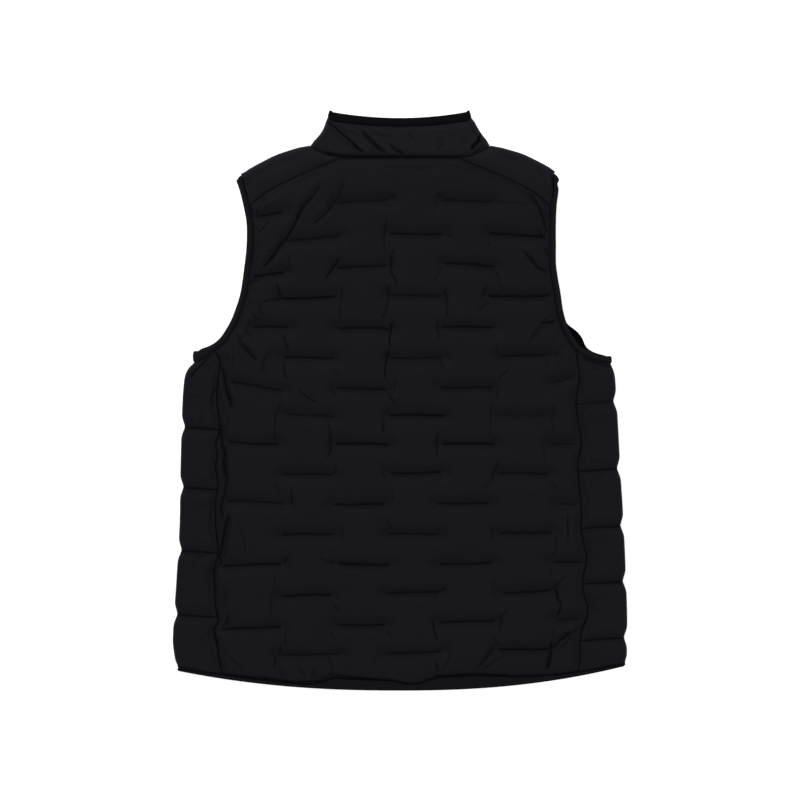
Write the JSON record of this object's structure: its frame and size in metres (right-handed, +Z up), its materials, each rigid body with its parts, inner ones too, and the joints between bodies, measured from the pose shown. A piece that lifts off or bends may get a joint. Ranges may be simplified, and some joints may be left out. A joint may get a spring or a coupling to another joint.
{
  "type": "puffer vest",
  "caption": "Sleeveless quilted puffer vest with a stand-up collar and a zipped front, laid flat with its back up.",
  "frame": {"origin": "on the surface that the vest lies on, under the middle of the vest's bounding box", "axes": "+Z up out of the vest's back, +Y from the hem to the collar, +X to the right in the picture, which is the wearer's right"},
  "size_m": [0.5914, 0.7532, 0.023],
  "materials": {
    "shell": "near-black woven nylon with a soft sheen",
    "binding": "matte black stretch binding",
    "zip_tape": "matte black woven tape",
    "zip_chain": "black moulded teeth",
    "zip_metal": "satin black paint"
  },
  "bodies": {
    "vest": {"back_panel": "shell", "side_panel_left": "shell", "side_panel_right": "shell", "shoulder_yoke_left": "shell", "shoulder_yoke_right": "shell", "front_panel_left": "shell", "front_panel_right": "shell", "collar": "shell", "collar_binding": "binding", "armhole_binding_left": "binding", "armhole_binding_right": "binding", "hem_band": "binding", "zip_tape_left": "zip_tape", "zip_tape_right": "zip_tape", "zip_chain": "zip_chain", "zip_box": "zip_metal", "zip_slider": "zip_metal"},
    "pull": {"zip_pull": "zip_metal"}
  },
  "joints": [
    {"name": "pull_swing", "type": "hinge", "parent": "vest", "child": "pull", "pos_m": [0.0001, 0.30045, 0.0025], "axis": [1, 0, 0], "range_deg": [0, 180]}
  ]
}
